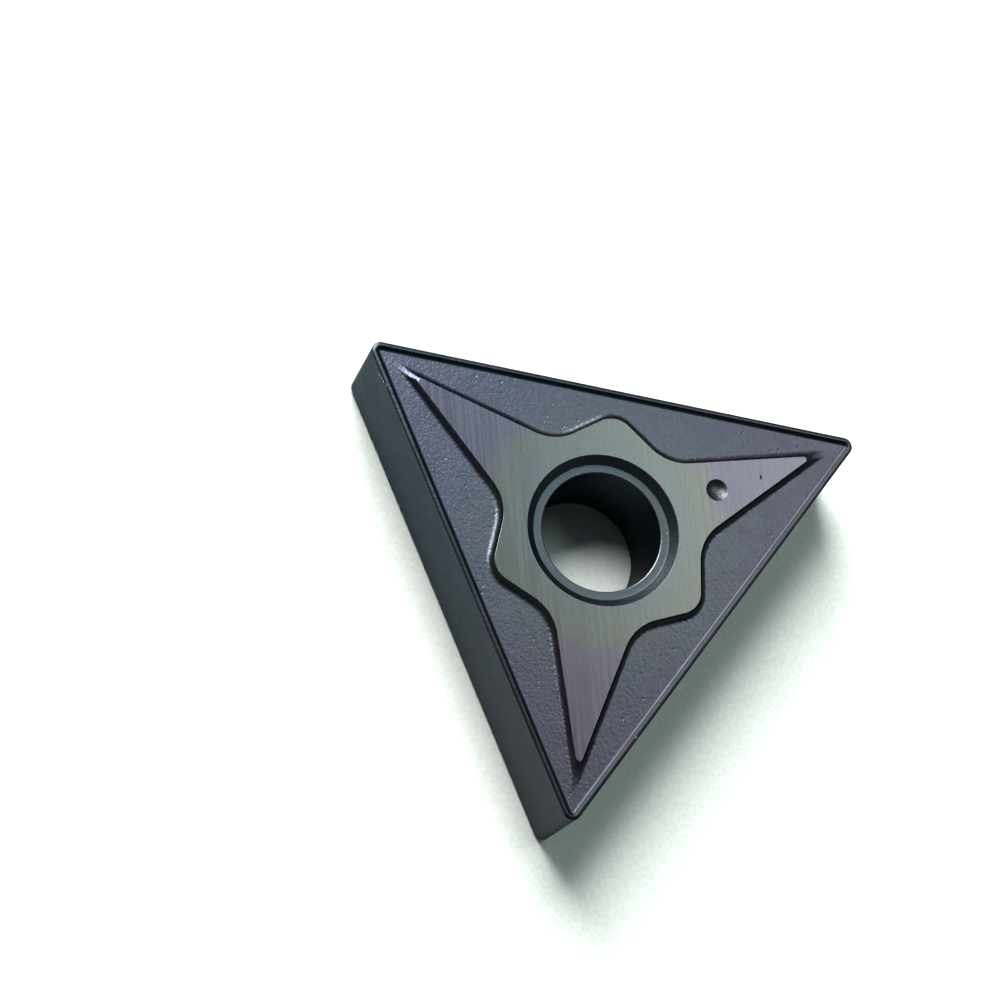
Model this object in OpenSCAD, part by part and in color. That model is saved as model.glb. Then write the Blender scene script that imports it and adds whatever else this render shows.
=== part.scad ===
// Double-sided triangular turning insert: three rounded noses, square flanks, a
// moulded chip groove round a raised three-armed seating land, and a screw hole.
// It is one solid, as it is pressed and sintered. Lengths are in millimetres.
// The origin is the middle of the hole at half the thickness, +Z runs along the
// hole and one nose points along +Y. Both faces are alike.

/* [Plate] */
// Diameter of the circle inscribed in the triangle
inscribed_d = 12.7; // [11.5:0.05:19.05]
// Radius of the three noses
nose_r = 0.4; // [0.2:0.05:1.2]
// Thickness from the seating face on one side to the cutting edges on the other
thickness = 4.76; // [3.18:0.01:7.94]

/* [Cutting edge] */
// Width of the honed break along each cutting edge
hone_w = 0.05; // [0.02:0.01:0.1]
// Width of the flat behind the edge, measured from the flank
edge_land_w = 0.15; // [0.12:0.01:0.3]
// Steepest angle of the slope down to the groove floor, from the horizontal
rake_angle = 40; // [30:1:50]
// Radius on which that slope runs out into the floor
rake_foot_r = 0.3; // [0.1:0.01:0.4]
// Depth of the groove floor below the cutting edges
groove_depth = 0.1; // [0.05:0.01:0.2]

/* [Seating land] */
// Height of the ground seating face above the cutting edges
seat_rise = 0.13; // [0.05:0.01:0.25]
// Distance from the end of a nose to the tip of the arm that points at it
arm_gap = 2.36; // [2:0.02:4]
// Angle between the two sides of an arm
arm_angle = 30; // [24:1:40]
// Radius of the tip of an arm
arm_tip_r = 0.14; // [0.08:0.01:0.25]
// Distance from the middle of a flank to the lobe that points at it
lobe_gap = 1.35; // [1.1:0.05:1.6]
// Angle between the two straight sides of a lobe
lobe_angle = 108; // [96:1:120]
// Radius of the top of a lobe
lobe_r = 1; // [0.4:0.05:1.5]
// Radius of the hollow between an arm and a lobe
hollow_r = 2.07; // [1:0.01:2.5]
// Steepest angle of the wall round the seating land, from the horizontal
wall_angle = 60; // [45:1:70]
// Radius on which that wall runs out into the groove floor
wall_foot_r = 0.34; // [0.1:0.01:0.4]

/* [Screw hole] */
// Diameter of the hole
hole_d = 5.16; // [3.8:0.01:5.4]
// Width of the flat ledge round the hole
ledge_w = 0.37; // [0.1:0.01:0.5]
// Depth of that ledge below the seating face
ledge_depth = 0.32; // [0.1:0.01:0.6]
// Diameter of the countersink at the seating face
sink_d = 6.57; // [6.5:0.01:7.2]
// Width of the break between the ledge and the hole
hole_break = 0.04; // [0.02:0.01:0.1]

/* [Corner mark] */
// Diameter of the round dimple on one arm
dimple_d = 0.94; // [0.5:0.01:1.2]
// Depth of the dimple
dimple_depth = 0.14; // [0.05:0.01:0.2]
// Distance from the middle of the hole to the dimple
dimple_reach = 5.47; // [4.8:0.01:6.2]

/* [Hidden] */

// Length by which a cutting shape runs out past the face that it cuts
clear = 0.6;
// Least radius of a moulded corner
least_r = 0.02;
// Largest share of a slope's height that the curve at its foot may take
foot_share = 0.8;
// Steps in the round stretches of the moulded outlines
nose_steps = 16;
tip_steps = 10;
hollow_steps = 8;
lobe_steps = 10;
foot_steps = 5;

inradius = inscribed_d / 2;
seat_z = (thickness + seat_rise) / 2;
edge_z = seat_z - seat_rise;
floor_z = edge_z - groove_depth;

arm_half = arm_angle / 2;
lobe_half = lobe_angle / 2;
// Where the straight sides of an arm or of a lobe would meet in a point
arm_apex = 2 * inradius - nose_r - arm_gap + arm_tip_r * (1 / sin(arm_half) - 1);
lobe_apex = inradius - lobe_gap + lobe_r * (1 / sin(lobe_half) - 1);
// Directions faced by the left side of the arm along +Y, by the lobe on its left
// and by the side of that lobe which is nearer the arm
arm_side = 180 - arm_half;
lobe_axis = 150;
lobe_side = lobe_axis - 90 + lobe_half;

function dir(a) = [cos(a), sin(a)];
function arc(centre, r, from, to, steps) =
    [for (i = [0:steps]) centre + r * dir(from + (to - from) * i / steps)];
function turned(points, a) =
    [for (p = points) [p.x * cos(a) - p.y * sin(a), p.x * sin(a) + p.y * cos(a)]];
function three_times(points) = concat(points, turned(points, 120), turned(points, 240));
function at_height(points, z) = [for (p = points) [p.x, p.y, z]];

// The same points mirrored in the line at angle a through the middle, in reverse order
function mirrored(points, a) =
    [for (i = [len(points) - 1:-1:0])
        let (p = points[i])
        [p.x * cos(2 * a) + p.y * sin(2 * a), p.x * sin(2 * a) - p.y * cos(2 * a)]];

// Point that lies da out along direction a and db out along direction b
function meeting(a, da, b, db) =
    [da * sin(b) - db * sin(a), db * cos(a) - da * cos(b)] / sin(b - a);

// Outline of the plate, moved inwards by inset
function plate_outline(inset) =
    let (r = max(nose_r - inset, least_r))
    three_times(arc([0, 2 * (inradius - inset - r)], r, 30, 150, nose_steps));

// Hollow between the arm along +Y and the lobe on its left, moved outwards by out
function hollow(out) =
    let (centre = meeting(
        arm_side, arm_apex * sin(arm_half) + hollow_r,
        lobe_side, lobe_apex * sin(lobe_half) + hollow_r))
    arc(centre, out - hollow_r, arm_side, lobe_side, hollow_steps);

// Outline of the seating land, moved outwards by out. The arms keep the radius
// of their tips, so they run out into the groove as long pointed ramps.
function land_outline(out) =
    let (tip = [0, arm_apex + (out - arm_tip_r) / sin(arm_half)])
    let (lobe = (lobe_apex - lobe_r / sin(lobe_half)) * dir(lobe_axis))
    three_times(concat(
        arc(tip, arm_tip_r, arm_half, arm_side, tip_steps),
        hollow(out),
        arc(lobe, lobe_r + out, lobe_side, 2 * lobe_axis - lobe_side, lobe_steps),
        mirrored(hollow(out), lobe_axis)));

// Rows [distance, height above the floor] down a slope that starts at height rise,
// falls at the given angle and runs out into the floor on a curve of radius foot_r
function slope_rows(rise, angle, foot_r) =
    let (r = min(foot_r, foot_share * rise / (1 - cos(angle))))
    let (end = rise / tan(angle) + r * tan(angle / 2))
    concat([[0, rise]],
        [for (i = [0:foot_steps])
            let (a = angle * (1 - i / foot_steps))
            [end - r * sin(a), r * (1 - cos(a))]]);

// Solid through a stack of outlines with equally many points, the lowest first
module stack(loops) {
    n = len(loops[0]);
    top = len(loops) - 1;
    polyhedron(
        points = [for (loop = loops) each loop],
        faces = concat(
            [[for (i = [0:n - 1]) i]],
            [for (k = [0:top - 1]) for (i = [0:n - 1]) let (j = (i + 1) % n) each
                [[k * n + i, (k + 1) * n + i, (k + 1) * n + j],
                    [k * n + i, (k + 1) * n + j, k * n + j]]],
            [[for (i = [n - 1:-1:0]) top * n + i]]),
        convexity = 6);
}

// Pressed plate between its two seating planes, with square flanks
module plate() {
    nose = [0, 2 * (inradius - nose_r)];
    linear_extrude(2 * seat_z, center = true) {
        polygon(three_times([nose + nose_r * dir(30), nose + nose_r * dir(150)]));
        for (a = [0, 120, 240])
            rotate(a) translate(nose) circle(nose_r);
    }
}

// Space above the hone, the flat behind the edge, the rake slope and the floor
module groove_space() {
    rows = slope_rows(groove_depth, rake_angle, rake_foot_r);
    stack(concat(
        [for (i = [len(rows) - 1:-1:0])
            at_height(plate_outline(edge_land_w + rows[i].x), floor_z + rows[i].y)],
        [at_height(plate_outline(hone_w), edge_z),
            at_height(plate_outline(-clear), edge_z - hone_w - clear),
            at_height(plate_outline(-clear), seat_z + clear)]));
}

// Seating land that stays standing in the groove, with its sloping wall
module seating_land() {
    rows = slope_rows(seat_z - floor_z, wall_angle, wall_foot_r);
    foot = rows[len(rows) - 1].x;
    stack(concat(
        [at_height(land_outline(foot), floor_z - clear)],
        [for (i = [len(rows) - 1:-1:0]) at_height(land_outline(rows[i].x), floor_z + rows[i].y)],
        [at_height(land_outline(0), seat_z + 2 * clear)]));
}

// Countersink down to its flat ledge, and the break at the mouth of the hole
module countersink() {
    ledge_r = hole_d / 2 + ledge_w;
    ledge_z = seat_z - ledge_depth;
    flare = (sink_d / 2 - ledge_r) / ledge_depth;
    deep = ledge_depth + clear;
    translate([0, 0, ledge_z])
        cylinder(r1 = ledge_r, r2 = ledge_r + flare * deep, h = deep);
    translate([0, 0, ledge_z - hole_break])
        cylinder(r1 = hole_d / 2, r2 = hole_d / 2 + hole_break, h = hole_break);
}

// Shallow round mark on the arm along +Y
module dimple() {
    ball_r = (pow(dimple_d / 2, 2) + pow(dimple_depth, 2)) / (2 * dimple_depth);
    translate([0, dimple_reach, seat_z + ball_r - dimple_depth])
        sphere(ball_r);
}

module insert() {
    $fn = 96;
    color([0.4, 0.42, 0.46])
        difference() {
            plate();
            for (side = [0, 180])
                rotate([0, side, 0]) {
                    difference() {
                        groove_space();
                        seating_land();
                    }
                    countersink();
                    dimple();
                }
            cylinder(d = hole_d, h = 2 * (seat_z + clear), center = true);
        }
}

insert();
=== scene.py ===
"""Looks of the double-sided triangular turning insert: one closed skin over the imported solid.

One profile is carried round the plate: flank, honed edge, rake slope, groove floor, wall and rim of the
seating land. A second is carried round the hole: countersink, ledge, lip and bore. A third is carried
round the dimple. The flat seating face joins the three, and the lower half is the upper one reflected.
Lengths are in millimetres and are the part's own sizes; the mesh is put into the scene in metres.
"""

import bpy
import numpy as np
from mathutils import Matrix, Vector
from mathutils.geometry import delaunay_2d_cdt


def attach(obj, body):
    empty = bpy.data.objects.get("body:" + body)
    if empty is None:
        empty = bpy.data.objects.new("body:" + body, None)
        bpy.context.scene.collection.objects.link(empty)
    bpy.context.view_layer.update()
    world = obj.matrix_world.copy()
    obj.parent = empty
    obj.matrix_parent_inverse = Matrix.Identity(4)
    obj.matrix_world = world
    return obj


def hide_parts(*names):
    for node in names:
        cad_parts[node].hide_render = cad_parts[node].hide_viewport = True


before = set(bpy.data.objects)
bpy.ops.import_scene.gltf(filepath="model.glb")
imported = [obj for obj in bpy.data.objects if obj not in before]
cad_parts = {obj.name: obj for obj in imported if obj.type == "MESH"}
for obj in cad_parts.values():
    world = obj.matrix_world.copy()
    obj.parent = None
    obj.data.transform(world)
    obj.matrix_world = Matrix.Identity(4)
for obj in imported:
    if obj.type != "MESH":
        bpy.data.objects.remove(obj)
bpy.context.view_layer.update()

MM = 0.001

# Plate
INRADIUS = 6.35
NOSE_R = 0.4
THICKNESS = 4.76
SEAT_RISE = 0.13
GROOVE_DEEP = 0.1
SEAT_Z = (THICKNESS + SEAT_RISE) / 2
EDGE_Z = SEAT_Z - SEAT_RISE
FLOOR_Z = EDGE_Z - GROOVE_DEEP

# Honed edge, and the crest where the rake slope starts
HONE_W = 0.155
HONE_H = 0.06
CREST = 0.185
CREST_R = 0.02
RAKE_ANGLE = 40.0
RAKE_FOOT_R = 0.22
# Least radius of a nose that is moved inwards
LEAST_R = 0.02

# Seating land: an arm and a lobe by their gap to the nose or flank, and by half the angle of their sides
ARM_GAP = 2.36
ARM_HALF = 15.0
ARM_TIP_R = 0.14
ARM_SIDE = 180.0 - ARM_HALF
LOBE_GAP = 1.35
LOBE_HALF = 54.0
LOBE_R = 1.0
LOBE_AXIS = 150.0
LOBE_SIDE = LOBE_AXIS - 90.0 + LOBE_HALF
HOLLOW_R = 2.07
WALL_ANGLE = 60.0
WALL_FOOT_R = 0.34

# Hole
BORE_R = 2.58
LEDGE_R = 2.95
SINK_R = 3.285
LEDGE_DEEP = 0.32
LEDGE_Z = SEAT_Z - LEDGE_DEEP
# How far the roundings at the rim and at the foot of the countersink reach along its wall and the ledge
SINK_RIM = 0.0125
SINK_FOOT = 0.007
LEDGE_END = 0.01
# Lip between ledge and bore. Its two roundings go from a start to an end and are drawn towards a corner,
# given as shares of its width outwards from the bore and upwards from the ledge.
LIP_W = 0.06
LIP_TOP = ((1.0, 0.0), (0.8, 0.0), (0.65, -0.08))
LIP_FOOT = ((0.2, -0.32), (0.0, -0.43), (0.0, -0.8))

# Dimple, with the step of its rounded rim and the radius where its rings end
DIMPLE_Y = 5.47
DIMPLE_R = 0.47
DIMPLE_DEEP = 0.14
DIMPLE_RIM_W = 0.004
DIMPLE_RIM_H = 0.003
DIMPLE_POLE_R = 0.03

# Small rounding where a ground or pressed face meets a wall, and the flat strip kept beside it
SOFT_R = 0.018
KEEP = 0.012
# Usual width of the groove floor, of which the strip takes its share
GROOVE_W = 0.6
# Heights of the rows that divide the flank and the bore
FLANK_ROW_Z = 1.1
BORE_ROW_Z = 1.0

# Grid lines in each stretch of a half arm, and in each stretch of the profiles
TIP_STEPS = 10
SIDE_STEPS = 30
HOLLOW_STEPS = 18
LOBE_SIDE_STEPS = 8
LOBE_STEPS = 12
HONE_STEPS = 8
SOFT_STEPS = 4
FOOT_STEPS = 9
GROOVE_ROWS = 20
SINK_RIM_STEPS = 3
SINK_FOOT_STEPS = 2
LIP_TOP_STEPS = 2
LIP_FOOT_STEPS = 3
HOLE_STATIONS = 160
DIMPLE_STATIONS = 64
DIMPLE_RINGS = 10

# Points that round to the same place at this many steps to a millimetre are one point
WELD_STEPS = 1e5
# Distance in millimetres under which the flat face's points would be merged
FLAT_MERGE = 1e-7


def towards(angle):
    """Unit vectors in the XY plane at the given angles in degrees, one row for each."""
    a = np.radians(np.atleast_1d(angle))
    return np.column_stack([np.cos(a), np.sin(a)])


def arc(centre, radius, start, end, steps):
    """Points of a circle: centre plus radius times the direction, for evenly spread angles."""
    return np.asarray(centre) + radius * towards(np.linspace(start, end, steps + 1))


def straight(a, b, steps):
    """Points between a and b without either end, spread evenly."""
    t = np.linspace(0, 1, steps + 1)[1:-1, None]
    return np.asarray(a) * (1 - t) + np.asarray(b) * t


def meeting(angle_a, out_a, angle_b, out_b):
    """Where two lines cross, each given by the direction that it faces and its distance from the middle."""
    a, b = np.radians(angle_a), np.radians(angle_b)
    x = out_a * np.sin(b) - out_b * np.sin(a)
    y = out_b * np.cos(a) - out_a * np.cos(b)
    return np.array([x, y]) / np.sin(b - a)


def land_half(out):
    """Seating land from the tip of the arm on +Y to the top of the lobe on its left, moved outwards by out.

    Arc of the tip, straight side, arc of the hollow, straight side, arc of the lobe. The apex of an arm or
    a lobe is where its straight sides would meet. Each stretch keeps its number of points, so that
    outlines at different distances match point for point."""
    arm_sine = np.sin(np.radians(ARM_HALF))
    lobe_sine = np.sin(np.radians(LOBE_HALF))
    arm_apex = 2 * INRADIUS - NOSE_R - ARM_GAP + ARM_TIP_R * (1 / arm_sine - 1)
    lobe_apex = INRADIUS - LOBE_GAP + LOBE_R * (1 / lobe_sine - 1)
    tip = arc([0, arm_apex + (out - ARM_TIP_R) / arm_sine], ARM_TIP_R, 90, ARM_SIDE, TIP_STEPS)
    centre = meeting(ARM_SIDE, arm_apex * arm_sine + HOLLOW_R, LOBE_SIDE, lobe_apex * lobe_sine + HOLLOW_R)
    hollow = arc(centre, out - HOLLOW_R, ARM_SIDE, LOBE_SIDE, HOLLOW_STEPS)
    middle = (lobe_apex - LOBE_R / lobe_sine) * towards(LOBE_AXIS)[0]
    lobe = arc(middle, LOBE_R + out, LOBE_SIDE, LOBE_AXIS, LOBE_STEPS)
    return np.vstack([
        tip,
        straight(tip[-1], hollow[0], SIDE_STEPS),
        hollow,
        straight(hollow[-1], lobe[0], LOBE_SIDE_STEPS),
        lobe,
    ])


def share_of_length(points):
    """How far along a line of points each one lies, from 0 at the first to 1 at the last."""
    run = np.concatenate([[0], np.cumsum(np.linalg.norm(np.diff(points, axis=0), axis=1))])
    return run / run[-1]


def plate_half(inset):
    """Plate from the nose on +Y to the middle of the flank on its left, moved inwards by inset.

    Arc of the nose over 60 degrees, then the straight edge, divided in the same shares as the land."""
    r = max(NOSE_R - inset, LEAST_R)
    nose = arc([0, 2 * (INRADIUS - inset - r)], r, 90, LOBE_AXIS, TIP_STEPS)
    middle = (INRADIUS - inset) * towards(LOBE_AXIS)[0]
    along = share_of_length(land_half(0.0)[TIP_STEPS:])[:, None]
    return np.vstack([nose[:-1], nose[-1] * (1 - along) + middle * along])


def all_round(half):
    """A half arm mirrored in the lobe's axis and turned three times about the hole, as one closed line."""
    a = np.radians(2 * LOBE_AXIS)
    flip = np.array([[np.cos(a), np.sin(a)], [np.sin(a), -np.cos(a)]])
    third = np.vstack([half, (half @ flip.T)[-2:0:-1]])
    thirds = []
    for angle in (0, 120, 240):
        c, s = np.cos(np.radians(angle)), np.sin(np.radians(angle))
        thirds.append(third @ np.array([[c, s], [-s, c]]))
    return np.vstack(thirds)


def curve_rows(start, corner, end, steps):
    """Rows of a rounded corner: the quadratic curve from start to end that is drawn towards the corner."""
    t = np.linspace(0, 1, steps + 1)[:, None]
    a, b, c = (np.asarray(p, float) for p in (start, corner, end))
    return (1 - t) ** 2 * a + 2 * t * (1 - t) * b + t ** 2 * c


def slope_rows(rise, angle, foot_r):
    """Rows [distance, height] down a slope of the given angle that runs out into the floor on a circle."""
    a = np.radians(angle)
    end = rise / np.tan(a) + foot_r * np.tan(a / 2)
    bend = np.radians(np.linspace(angle, 0, FOOT_STEPS + 1))
    curve = np.column_stack([end - foot_r * np.sin(bend), foot_r * (1 - np.cos(bend))])
    return np.vstack([[0, rise], curve])


def soft_start(rows, size):
    """Rounds the first corner of a slope: a quadratic curve from the flat behind it to a point below it."""
    down = rows[1] - rows[0]
    first = rows[0] + down * (size / np.linalg.norm(down))
    return np.vstack([curve_rows(rows[0] - [size, 0], rows[0], first, SOFT_STEPS), rows[1:]])


def at_height(line, z):
    """Points of the XY plane lifted to the height z."""
    return np.column_stack([line, np.full(len(line), z)])


def ring_rows(rows, outline):
    """Each row [distance, z] becomes the closed outline at that distance and height."""
    return np.array([at_height(all_round(outline(distance)), z) for distance, z in rows])


def circle_rows(rows, centre, stations):
    """Each row [radius, z] becomes a circle of that radius and height round the centre."""
    angles = np.arange(stations) * 360 / stations
    return np.array([at_height(np.asarray(centre) + r * towards(angles), z) for r, z in rows])


# Profile round the plate, from the middle of the flank to the seating face
bend = np.radians(np.linspace(0, 90, HONE_STEPS + 1))
flank = np.array([[0, 0], [0, FLANK_ROW_Z], [0, EDGE_Z - HONE_H - KEEP]])
hone = np.column_stack([HONE_W * (1 - np.cos(bend)), EDGE_Z - HONE_H * (1 - np.sin(bend))])
rake = soft_start(slope_rows(EDGE_Z - FLOOR_Z, RAKE_ANGLE, RAKE_FOOT_R), CREST_R) + [CREST, FLOOR_Z]
slope = soft_start(slope_rows(SEAT_Z - FLOOR_Z, WALL_ANGLE, WALL_FOOT_R), SOFT_R) + [0, FLOOR_Z]
wall = np.vstack([[-SOFT_R - KEEP, SEAT_Z], slope])[::-1]
edge_rings = ring_rows(np.vstack([flank, hone, rake]), plate_half)
wall_rings = ring_rows(wall, land_half)
strip = KEEP / GROOVE_W
shares = np.concatenate([[strip], np.linspace(0, 1, GROOVE_ROWS + 1)[1:-1], [1 - strip]])[:, None, None]
groove_rings = edge_rings[-1] * (1 - shares) + wall_rings[0] * shares
plate_rings = np.concatenate([edge_rings, groove_rings, wall_rings])

# Profile round the hole, from the seating face to the middle of the bore
sink = np.vstack([
    [SINK_R + SOFT_R + KEEP, SEAT_Z],
    curve_rows([SINK_R + SOFT_R, SEAT_Z], [SINK_R, SEAT_Z], [SINK_R - SINK_RIM, SEAT_Z - SINK_RIM],
               SINK_RIM_STEPS),
    curve_rows([LEDGE_R + SINK_FOOT, LEDGE_Z + SINK_FOOT], [LEDGE_R, LEDGE_Z], [LEDGE_R - LEDGE_END, LEDGE_Z],
               SINK_FOOT_STEPS),
    [BORE_R + LIP_W + KEEP, LEDGE_Z],
])
lip = np.vstack([
    curve_rows(*(np.array(LIP_TOP) * LIP_W), LIP_TOP_STEPS),
    curve_rows(*(np.array(LIP_FOOT) * LIP_W), LIP_FOOT_STEPS),
]) + [BORE_R, LEDGE_Z]
bore = np.array([[BORE_R, LEDGE_Z - LIP_W], [BORE_R, BORE_ROW_Z], [BORE_R, 0]])
hole_rings = circle_rows(np.vstack([sink, lip, bore]), [0, 0], HOLE_STATIONS)

# Profile round the dimple: rounded rim, then rings of a ball's surface down to the middle
ball_r = (DIMPLE_R ** 2 + DIMPLE_DEEP ** 2) / (2 * DIMPLE_DEEP)
bowl_r = np.linspace(DIMPLE_R, DIMPLE_POLE_R, DIMPLE_RINGS)[1:]
bowl_z = SEAT_Z + ball_r - DIMPLE_DEEP - np.sqrt(ball_r ** 2 - bowl_r ** 2)
rim = np.array([
    [DIMPLE_R + SOFT_R + KEEP, SEAT_Z],
    [DIMPLE_R + SOFT_R, SEAT_Z],
    [DIMPLE_R + DIMPLE_RIM_W, SEAT_Z - DIMPLE_RIM_H],
])
dimple_rings = circle_rows(
    np.vstack([rim, np.column_stack([bowl_r, bowl_z])]), [0, DIMPLE_Y], DIMPLE_STATIONS)

# Numbers of the finishes, in the order in which the skin gets them
EDGE, RAKE, GROOVE, SEAT, HOLE, LIP, FLANK, DIMPLE = range(8)


def row_finishes(rings, finishes, counts):
    """Finish of each face of a grid: each finish goes on for its count of rows, the last one to the end."""
    rows, stations = rings.shape[:2]
    last = rows - 1 - sum(counts)
    return np.repeat(np.repeat(finishes, [*counts, last]), stations)


def grid_faces(rings, start):
    """Four-sided faces between neighbouring closed rows of points, whose numbers begin at start."""
    rows, stations = rings.shape[:2]
    r = np.arange(rows - 1)[:, None] * stations + start
    i = np.arange(stations)[None, :]
    j = (i + 1) % stations
    return np.stack([r + i, r + j, r + stations + j, r + stations + i], axis=-1).reshape(-1, 4)


def inside(points, line):
    """Whether each point lies inside a closed line: a ray from it along +X crosses the line an odd
    number of times."""
    a, b = line, np.roll(line, -1, axis=0)
    x, y = points[:, :1], points[:, 1:]
    spans = (a[:, 1] > y) != (b[:, 1] > y)
    rise = np.where(b[:, 1] == a[:, 1], 1.0, b[:, 1] - a[:, 1])
    cross = a[:, 0] + (y - a[:, 1]) * (b[:, 0] - a[:, 0]) / rise
    return (np.sum(spans & (x < cross), axis=1) % 2) == 1


def flat_faces(loops):
    """Triangles of the flat face that the first closed line bounds and the others cut holes in."""
    sizes = [len(loop) for loop in loops]
    starts = np.concatenate([[0], np.cumsum(sizes)[:-1]])
    points = np.vstack(loops)
    edges = np.vstack([
        np.column_stack([start + np.arange(size), start + (np.arange(size) + 1) % size])
        for start, size in zip(starts, sizes)
    ])
    made = delaunay_2d_cdt([Vector(p) for p in points], edges.tolist(), [], 0, FLAT_MERGE)
    triangles = np.array(made[2])
    middles = points[triangles].mean(axis=1)
    keep = inside(middles, loops[0])
    for loop in loops[1:]:
        keep &= ~inside(middles, loop)
    triangles = triangles[keep]
    a, b, c = (points[triangles[:, k]] for k in range(3))
    area = (b[:, 0] - a[:, 0]) * (c[:, 1] - a[:, 1]) - (b[:, 1] - a[:, 1]) * (c[:, 0] - a[:, 0])
    triangles[area < 0] = triangles[area < 0][:, ::-1]
    return triangles


def half_skin():
    """Points, faces and finishes of the upper half, from the middle of the flank to the middle of the bore.

    Three grids of closed rows, the flat seating face between them, and a fan of triangles round the
    lowest point of the dimple."""
    grids = [plate_rings, hole_rings, dimple_rings]
    starts = np.cumsum([0] + [grid.shape[0] * grid.shape[1] for grid in grids])
    pole = starts[-1]
    points = np.vstack([grid.reshape(-1, 3) for grid in grids] + [[0, DIMPLE_Y, SEAT_Z - DIMPLE_DEEP]])
    quads = np.vstack([grid_faces(grid, start) for grid, start in zip(grids, starts)])
    groove_count = len(shares) + len(wall) - SOFT_STEPS
    plate_counts = [len(flank), len(hone), len(rake) - 2, groove_count]
    quad_finish = np.concatenate([
        row_finishes(plate_rings, [FLANK, EDGE, RAKE, GROOVE, SEAT], plate_counts),
        row_finishes(hole_rings, [SEAT, HOLE, LIP, HOLE], [1, len(sink) - 1, len(lip) - 1]),
        row_finishes(dimple_rings, [SEAT, DIMPLE], [2]),
    ])

    borders = [plate_rings[-1], hole_rings[0], dimple_rings[0]]
    first = [starts[1] - len(borders[0]), starts[1], starts[2]]
    numbers = np.concatenate([start + np.arange(len(line)) for start, line in zip(first, borders)])
    flat = numbers[flat_faces([line[:, :2] for line in borders])]
    ring = pole - DIMPLE_STATIONS + np.arange(DIMPLE_STATIONS)
    fan = np.column_stack([ring, np.roll(ring, -1), np.full(DIMPLE_STATIONS, pole)])
    triangle_finish = np.repeat([SEAT, DIMPLE], [len(flat), len(fan)])
    return points, quads, np.vstack([flat, fan]), quad_finish, triangle_finish


def welded(points):
    """Points without doubles, and for each given point the number of the one that takes its place."""
    places = np.round(points * WELD_STEPS).astype(np.int64)
    first, number = np.unique(places, axis=0, return_index=True, return_inverse=True)[1:]
    return points[first], number.reshape(-1)


def insert_skin():
    """Points, faces and finishes of the closed skin: the upper half and the same half reflected in the
    plane z = 0, with its faces turned round, welded along the middles of the flanks and of the bore."""
    upper, quads, triangles, quad_finish, triangle_finish = half_skin()
    points, number = welded(np.vstack([upper, upper * [1, 1, -1]]))
    faces = []
    for half in (quads, triangles):
        faces += number[np.vstack([half, half[:, ::-1] + len(upper)])].tolist()
    return points, faces, np.concatenate([np.tile(quad_finish, 2), np.tile(triangle_finish, 2)])


def put_in_scene(name, data):
    """Adds a mesh, lamp or camera to the scene as an object at the origin."""
    made = bpy.data.objects.new(name, data)
    bpy.context.scene.collection.objects.link(made)
    return made


def make_mesh(name, points, faces, finishes):
    """Puts points in millimetres and their faces into a smooth mesh in metres."""
    mesh = bpy.data.meshes.new(name)
    mesh.from_pydata((points * MM).tolist(), [], faces)
    mesh.polygons.foreach_set("material_index", np.asarray(finishes, np.int32))
    mesh.polygons.foreach_set("use_smooth", np.ones(len(finishes), bool))
    mesh.update()
    return put_in_scene(name, mesh)


# Colours of the coating. It is cooler towards the arm at 210 degrees and warmer on the opposite side,
# pressed faces turn from greenish near the hole to violet, and they have broad cool and warm patches.
CAST_AZ = 30.0
CAST_SPAN = (-8.0, 6.0)
COOL = (0.86, 1.0, 1.06, 1)
WARM = (1.03, 1.0, 0.99, 1)
FAR_SPAN = (4.4, 7.5)
FAR_TINT = (0.96, 0.88, 1.02)
FAR_FLANK = (0.98, 0.92, 1.0)
PATCH_SPAN = (0.35, 0.65)
COOL_PATCH = (0.98, 1.01, 1.01, 1)
WARM_PATCH = (1.04, 0.99, 0.99, 1)
# Part of its range that a noise is usually in
NOISE_SPAN = (0.3, 0.7)
# Stretch that takes the height out of a distance
UPRIGHT = (1, 1, 1000.0)

# Pressed skin: swells and pits to a millimetre, the share by which its colour and roughness go up and
# down, and how deep a pit and a chip are beside the lumps
LUMPS = 7.5
GRAIN = 12.0
PATCHES = 0.9
PITS = 3.2
PIT_DRIFT = 1.8
PIT_SPAN = (0.4, 0.66)
PIT_DEPTH = 0.7
CHIP_DEPTH = 2.0
GRAIN_SWING = 0.07
ROUGHNESS_SWING = 0.08
# A spot's ragged rim: its swells to a millimetre, and half its width as a share of the radius
RAGGED = 9.0
RIM_SHARE = 0.2

# Ground seating face: direction and size of the grinding lines, and swells to a millimetre
GRIND_AZ = 162.0
GRIND_SIZE = (5 * MM, 0.09 * MM, 5 * MM)
SEAT_PATCHES = 0.8
SEAT_SPECKLE = 9.0
SEAT_LEVEL = 0.114
SEAT_ROUGHNESS = 0.25
SEAT_ROUGHNESS_SWING = 0.12
SEAT_GRAZING = 0.5
SEAT_RELIEF = 0.0012
LINE_SWING = 0.04
SPECKLE_SWING = 0.05
SPECKLE_HEIGHT = 0.5
# How far patches and grinding lines push the bands of the coating to and fro
PATCH_PUSH = 1.6
LINE_PUSH = 0.8
# Tints of the coating by distance from the axis of the hole, as shares of the reach
BANDS_REACH = 10.0
COATING_BANDS = (
    (0.35, (0.97, 1.0, 1.06)),
    (0.4, (0.98, 1.0, 0.98)),
    (0.46, (1.0, 1.0, 0.94)),
    (0.51, (1.02, 0.93, 0.99)),
    (0.56, (0.98, 0.84, 1.08)),
    (0.63, (0.92, 0.81, 1.07)),
)
# Pit on the arm with the dimple, drawn only as a dark spot of painted shade with no depth: place, radius,
# stretch and direction
PIT_AT = (0.104, 7.602, SEAT_Z)
PIT_R = 0.19
PIT_SIZE = (0.55, 1.0, 1.0)
PIT_AZ = 60.0
PIT_SHADE_COLOUR = (0.01, 0.01, 0.012, 1)

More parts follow.
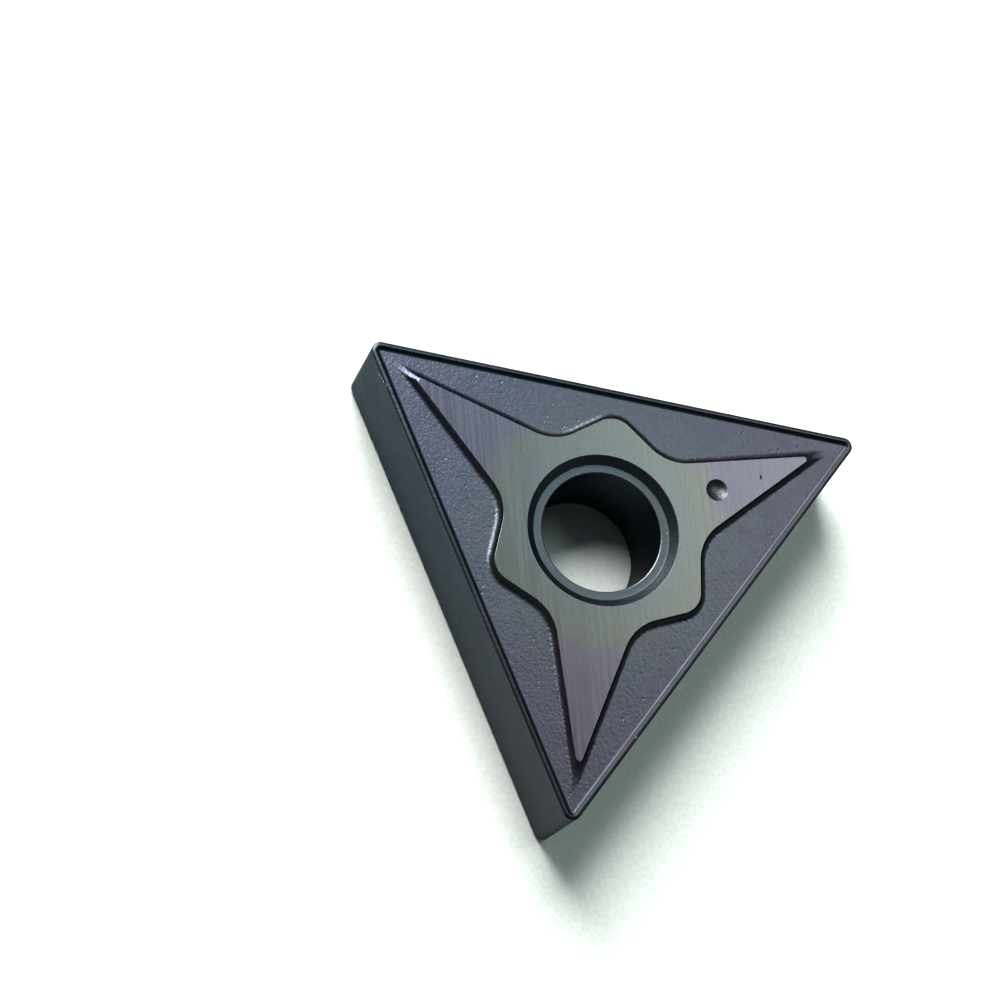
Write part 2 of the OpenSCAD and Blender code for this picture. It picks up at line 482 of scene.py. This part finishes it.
# Worn spots by centre, radius and lightness: chips that run down the flank, and nicks in two edges
FLANK_CHIPS = (
    ((-9.41, -INRADIUS, EDGE_Z - 0.27), 0.12, 0.4),
    ((-9.22, -INRADIUS, EDGE_Z - 0.17), 0.12, 0.2),
    ((-9.02, -INRADIUS, EDGE_Z - 0.07), 0.12, 0.5),
)
EDGE_NICKS = (
    ((-8.85, -INRADIUS + 0.03, EDGE_Z), 0.11, 0.2),
    ((8.48, -2.23, EDGE_Z), 0.12, 0.15),
)


class Finish:
    """A node material: its shader, and short calls that add a node and wire or set its inputs."""

    def __init__(self, name):
        self.material = bpy.data.materials.new(name)
        self.material.use_nodes = True
        self.tree = self.material.node_tree
        self.shader = self.tree.nodes["Principled BSDF"]
        self.place = self.tree.nodes.new("ShaderNodeTexCoord").outputs["Object"]

    def feed(self, socket, value):
        """Sets a socket to a value, or links another node's output to it."""
        if isinstance(value, bpy.types.NodeSocket):
            self.tree.links.new(value, socket)
        else:
            socket.default_value = value

    def node(self, kind, settings, inputs):
        """Adds a node with its settings and its inputs, which are given by name or number."""
        made = self.tree.nodes.new(kind)
        for key, value in settings.items():
            setattr(made, key, value)
        for key, value in inputs.items():
            self.feed(made.inputs[key], value)
        return made

    def noise(self, per_mm, detail):
        """Smooth noise from 0 to 1 with the given number of swells to a millimetre."""
        inputs = {"Scale": per_mm / MM, "Detail": detail, "Vector": self.place}
        return self.node("ShaderNodeTexNoise", {}, inputs).outputs["Fac"]

    def span(self, value, low, high, to_low, to_high):
        """Carries a value from one span to another on an eased curve, held at both ends."""
        settings = {"interpolation_type": "SMOOTHSTEP"}
        inputs = {"Value": value, "From Min": low, "From Max": high, "To Min": to_low, "To Max": to_high}
        return self.node("ShaderNodeMapRange", settings, inputs).outputs["Result"]

    def swing(self, noise, middle, share):
        """A value that a noise moves up and down from the middle by a share of it."""
        return self.span(noise, *NOISE_SPAN, middle * (1 - share), middle * (1 + share))

    def maths(self, operation, a, b):
        """One sum on two values."""
        return self.node("ShaderNodeMath", {"operation": operation}, {0: a, 1: b}).outputs["Value"]

    def push(self, noise, reach):
        """A noise about 0 that goes half the reach in mm to either side."""
        return self.maths("MULTIPLY", self.maths("SUBTRACT", noise, 0.5), reach * MM)

    def blend(self, share, a, b, way="MIX"):
        """Mixes two colours: a where the share is 0, b where it is 1."""
        inputs = {"Fac": share, "Color1": a, "Color2": b}
        return self.node("ShaderNodeMixRGB", {"blend_type": way}, inputs).outputs["Color"]

    def times(self, colour, factor):
        """A colour multiplied by another colour, or by a value."""
        return self.blend(1.0, colour, factor, "MULTIPLY")

    def turned(self, place, azimuth, size):
        """Coordinates about a point in metres, with the axes turned and stretched by size."""
        rotation = (0, 0, np.radians(azimuth))
        inputs = {"Vector": self.place, "Location": place, "Rotation": rotation, "Scale": size}
        return self.node("ShaderNodeMapping", {"vector_type": "TEXTURE"}, inputs).outputs["Vector"]

    def distance(self, centre, size, azimuth=0.0):
        """Distance in metres from a point in mm, with the axes turned and stretched by size."""
        placed = self.turned([c * MM for c in centre], azimuth, size)
        return self.node("ShaderNodeVectorMath", {"operation": "LENGTH"}, {0: placed}).outputs["Value"]

    def from_axis(self):
        """Distance in metres from the axis of the hole."""
        return self.distance((0, 0, 0), UPRIGHT)

    def spot(self, centre, radius, size=(1, 1, 1), azimuth=0.0):
        """1 near a point and 0 from about the given radius on, in mm: eased over the rim of the distance, to
        which a noise adds up to a radius."""
        ragged = self.maths("MULTIPLY", self.noise(RAGGED, 2), radius * MM)
        reach = self.maths("ADD", self.distance(centre, size, azimuth), ragged)
        return self.span(reach, radius * (1 - RIM_SHARE) * MM, radius * (1 + RIM_SHARE) * MM, 1.0, 0.0)

    def cast(self, colour):
        """Tints a colour: cooler towards the arm at 210 degrees and warmer on the opposite side."""
        inputs = {0: self.place, 1: (*towards(CAST_AZ)[0], 0)}
        along = self.node("ShaderNodeVectorMath", {"operation": "DOT_PRODUCT"}, inputs).outputs["Value"]
        share = self.span(along, CAST_SPAN[0] * MM, CAST_SPAN[1] * MM, 0.0, 1.0)
        return self.times(colour, self.blend(share, COOL, WARM))

    def relief(self, height, deep):
        """Turns the shader's normals as if the surface had the given height, deep mm from 0 to 1."""
        bump = self.node("ShaderNodeBump", {}, {"Strength": 1.0, "Distance": deep * MM, "Height": height})
        self.feed(self.shader.inputs["Normal"], bump.outputs["Normal"])

    def coat(self, colour, roughness, grazing, height, deep):
        """Wires the coating's shader: reflectance, roughness, tint at grazing angles, and relief in mm."""
        self.feed(self.shader.inputs["Base Color"], self.cast(colour))
        self.feed(self.shader.inputs["Roughness"], roughness)
        self.relief(height, deep)
        self.shader.inputs["Metallic"].default_value = 1
        self.shader.inputs["Specular Tint"].default_value = (grazing, grazing, grazing, 1)
        return self.material


def shade(tint, level):
    """A colour: its tint times its level."""
    return (*[c * level for c in tint], 1)


def pressed(name, tint, level, roughness, grazing, deep, marks=(), far=FAR_TINT):
    """Skin as it comes from the press: lumps, sparse pits, broad patches of violet and blue-grey, and chips.

    The far tint multiplies the colour away from the hole. Each mark is a centre and a radius in mm and how
    light the bared spot is."""
    f = Finish(name)
    lumps = f.noise(LUMPS, 3)
    grain = f.noise(GRAIN, 1)
    patches = f.noise(PATCHES, 2)
    cells = f.node("ShaderNodeTexVoronoi", {}, {"Scale": PITS / MM, "Vector": f.place}).outputs["Distance"]
    pits = f.span(f.maths("ADD", cells, f.noise(PIT_DRIFT, 2)), *PIT_SPAN, 1.0, 0.0)
    away = f.span(f.from_axis(), FAR_SPAN[0] * MM, FAR_SPAN[1] * MM, 0.0, 1.0)
    colour = f.blend(away, shade(tint, level), shade(np.multiply(tint, far), level))
    colour = f.times(colour, f.blend(f.span(patches, *PATCH_SPAN, 0.0, 1.0), COOL_PATCH, WARM_PATCH))
    colour = f.times(colour, f.swing(grain, 1.0, GRAIN_SWING))
    height = f.maths("SUBTRACT", lumps, f.maths("MULTIPLY", pits, PIT_DEPTH))
    for centre, radius, light in marks:
        spot = f.spot(centre, radius)
        colour = f.blend(spot, colour, (light, light, light, 1))
        height = f.maths("SUBTRACT", height, f.maths("MULTIPLY", spot, CHIP_DEPTH))
    return f.coat(colour, f.swing(patches, roughness, ROUGHNESS_SWING), grazing, height, deep)


def ground(name):
    """Ground seating face: fine parallel lines, and a thin coating that turns from green-grey round the hole
    through a yellowish and a violet line to lavender on the arms."""
    f = Finish(name)
    along = f.turned((0, 0, 0), GRIND_AZ, GRIND_SIZE)
    lines = f.node("ShaderNodeTexNoise", {}, {"Scale": 1.0, "Detail": 3.0, "Vector": along}).outputs["Fac"]
    patches = f.noise(SEAT_PATCHES, 2)
    speckle = f.noise(SEAT_SPECKLE, 2)
    reach = f.maths("ADD", f.from_axis(), f.push(patches, PATCH_PUSH))
    reach = f.maths("ADD", reach, f.push(lines, LINE_PUSH))
    ramp = f.node("ShaderNodeValToRGB", {}, {"Fac": f.maths("DIVIDE", reach, BANDS_REACH * MM)})
    stops = ramp.color_ramp.elements
    for stop, (position, tint) in zip(stops, (COATING_BANDS[0], COATING_BANDS[-1])):
        stop.position = position
        stop.color = shade(tint, SEAT_LEVEL)
    for position, tint in COATING_BANDS[1:-1]:
        stops.new(position).color = shade(tint, SEAT_LEVEL)
    grain = f.maths("MULTIPLY", f.swing(lines, 1.0, LINE_SWING), f.swing(speckle, 1.0, SPECKLE_SWING))
    colour = f.times(ramp.outputs["Color"], grain)
    # Painted shade: the pit is only a near-black spot in the colour of the seating face.
    colour = f.blend(f.spot(PIT_AT, PIT_R, PIT_SIZE, PIT_AZ), colour, PIT_SHADE_COLOUR)
    height = f.maths("ADD", lines, f.maths("MULTIPLY", speckle, SPECKLE_HEIGHT))
    roughness = f.swing(lines, SEAT_ROUGHNESS, SEAT_ROUGHNESS_SWING)
    return f.coat(colour, roughness, SEAT_GRAZING, height, SEAT_RELIEF)


insert = make_mesh("insert_skin", *insert_skin())
# Pressed finishes by tint, level, roughness, tint at grazing angles and relief in mm. Two of them have
# worn spots, and the flank has a far tint of its own.
for finish in (
    pressed("honed_edge", (0.92, 1.05, 1.2), 0.045, 0.3, 0.5, 0.006, EDGE_NICKS),
    # The rake slope wears the pressed coating at a lower level than the groove: painted shade that darkens
    # the slope.
    pressed("shaded_rake_slope", (0.92, 1.08, 1.2), 0.03, 0.4, 0.4, 0.006),
    pressed("pressed_groove", (0.98, 1.05, 1.25), 0.065, 0.33, 0.5, 0.014),
    ground("ground_seat"),
    pressed("hole_wall", (0.84, 1.0, 1.18), 0.065, 0.38, 0.4, 0.01),
    # The lip wears the hole's coating at a higher level: a painted highlight that brightens the line at the
    # mouth of the hole.
    pressed("hole_lip_highlight", (0.92, 1.0, 1.1), 0.085, 0.3, 0.5, 0.01),
    pressed("ground_flank", (0.92, 1.08, 1.2), 0.063, 0.5, 0.5, 0.005, FLANK_CHIPS, FAR_FLANK),
    pressed("pressed_dimple", (0.93, 1.04, 1.15), 0.06, 0.38, 0.5, 0.012),
):
    insert.data.materials.append(finish)
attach(insert, "root")
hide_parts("insert")

# Paper floor just under the lower seating land: half its side in metres, gap and look
PAPER_REACH = 1.5
PAPER_GAP = 0.002
PAPER_DIM = (0.66, 0.72, 0.69, 1)
PAPER_PALE = (0.88, 0.94, 0.91, 1)
PAPER_ROUGHNESS = 0.9
PAPER_SHINE = 0.1
FIBRES = 6.0
FIBRE_RELIEF = 0.02


def white_paper():
    """Matt paper with fine fibres. Their grain is painted into the colour, lighter where they stand up:
    partly the paper's tone, partly painted highlight on the raised fibres and painted shade between them.
    """
    paper = Finish("white_paper")
    fibres = paper.noise(FIBRES, 3)
    paper.feed(paper.shader.inputs["Base Color"], paper.blend(fibres, PAPER_DIM, PAPER_PALE))
    paper.relief(fibres, FIBRE_RELIEF)
    paper.shader.inputs["Roughness"].default_value = PAPER_ROUGHNESS
    paper.shader.inputs["Specular IOR Level"].default_value = PAPER_SHINE
    return paper.material


def paper_floor():
    """Square floor: four corners at the reach from the axis, on one level."""
    mesh = bpy.data.meshes.new("floor")
    level = -(SEAT_Z + PAPER_GAP) * MM
    corners = [(x * PAPER_REACH, y * PAPER_REACH, level) for x, y in ((-1, -1), (1, -1), (1, 1), (-1, 1))]
    mesh.from_pydata(corners, [], [(0, 1, 2, 3)])
    mesh.materials.append(white_paper())
    return put_in_scene("floor", mesh)


floor = paper_floor()

# Light of the studio, with places and sizes in metres
ROOM_TINT = (0.84, 1.0, 0.94)
KEY_TINT = (1.0, 0.99, 0.97)
KEY_AZ = 178.0
KEY_TILT = 42.0
KEY_AWAY = 0.4
KEY_SIZE = (0.19, 0.28)
KEY_RADIANCE = 21.0
PANEL_AT = (-0.045, 0.255, 0.4)
PANEL_SIZE = (0.2, 0.19)
PANEL_RADIANCE = 4.3
# Light from the room's walls and from overhead, and the heights between which one fades into the other
WALL_LIGHT = 0.22
OVERHEAD_LIGHT = 0.03
ROOM_FADE = (0.2, 0.7)


def aim(made, place, right, up, back):
    """Stands a lamp or camera at a place with its axes along three unit vectors, back away from its view."""
    made.matrix_world = Matrix.Translation(Vector(place)) @ Matrix((right, up, back)).transposed().to_4x4()


def softbox(name, centre, facing, size, radiance, tint):
    """Rectangular lamp at centre whose face looks along facing, equally bright from anywhere: its power is
    the radiance times pi times its area."""
    lamp = bpy.data.lights.new(name, "AREA")
    lamp.shape = "RECTANGLE"
    lamp.size, lamp.size_y = size
    lamp.energy = radiance * np.pi * size[0] * size[1]
    lamp.color = tint
    back = -Vector(facing).normalized()
    side = Vector((0, 0, 1)).cross(back)
    right = side.normalized() if side.length > 0 else Vector((1, 0, 0))
    aim(put_in_scene(name, lamp), centre, right, back.cross(right), back)


def from_above(azimuth, tilt, away):
    """Place at a distance from the insert in the given azimuth and angle from the vertical."""
    t = np.radians(tilt)
    return np.array([*(np.sin(t) * towards(azimuth)[0]), np.cos(t)]) * away


def room_light():
    """Pale walls of the room: the light fades on an eased curve from the wall's value to the overhead one."""
    world = bpy.data.worlds.new("studio")
    world.use_nodes = True
    nodes, links = world.node_tree.nodes, world.node_tree.links
    background = nodes["Background"]
    background.inputs["Color"].default_value = (*ROOM_TINT, 1)
    around = nodes.new("ShaderNodeTexCoord")
    height = nodes.new("ShaderNodeSeparateXYZ")
    fade = nodes.new("ShaderNodeMapRange")
    fade.interpolation_type = "SMOOTHSTEP"
    fade.inputs["From Min"].default_value = ROOM_FADE[0]
    fade.inputs["From Max"].default_value = ROOM_FADE[1]
    fade.inputs["To Min"].default_value = WALL_LIGHT
    fade.inputs["To Max"].default_value = OVERHEAD_LIGHT
    links.new(around.outputs["Generated"], height.inputs["Vector"])
    links.new(height.outputs["Z"], fade.inputs["Value"])
    links.new(fade.outputs["Result"], background.inputs["Strength"])
    return world


key_place = from_above(KEY_AZ, KEY_TILT, KEY_AWAY)
softbox("key_softbox", key_place, -key_place, KEY_SIZE, KEY_RADIANCE, KEY_TINT)
softbox("ceiling_panel", PANEL_AT, (0, 0, -1), PANEL_SIZE, PANEL_RADIANCE, ROOM_TINT)
bpy.context.scene.world = room_light()

# Camera at the photograph's viewing angle, its place in millimetres and its clipping distances in metres
CAMERA_AT = (16.566, -37.43, 94.67)
CAMERA_RIGHT = (0.3811, 0.8911, 0.2464)
CAMERA_BACK = (0.1918, -0.3369, 0.9218)
CAMERA_LENS = 87.198
CAMERA_SENSOR = 36
CAMERA_CLIP = (0.005, 20)


def viewpoint():
    """Camera whose back axis is kept and whose right axis is squared to it."""
    camera = bpy.data.cameras.new("camera")
    camera.lens = CAMERA_LENS
    camera.sensor_width = CAMERA_SENSOR
    camera.clip_start, camera.clip_end = CAMERA_CLIP
    viewer = put_in_scene("camera", camera)
    back = Vector(CAMERA_BACK).normalized()
    up = back.cross(Vector(CAMERA_RIGHT).normalized()).normalized()
    aim(viewer, Vector(CAMERA_AT) * MM, up.cross(back), up, back)
    return viewer


bpy.context.scene.camera = viewpoint()
bpy.context.scene.view_settings.view_transform = "Standard"
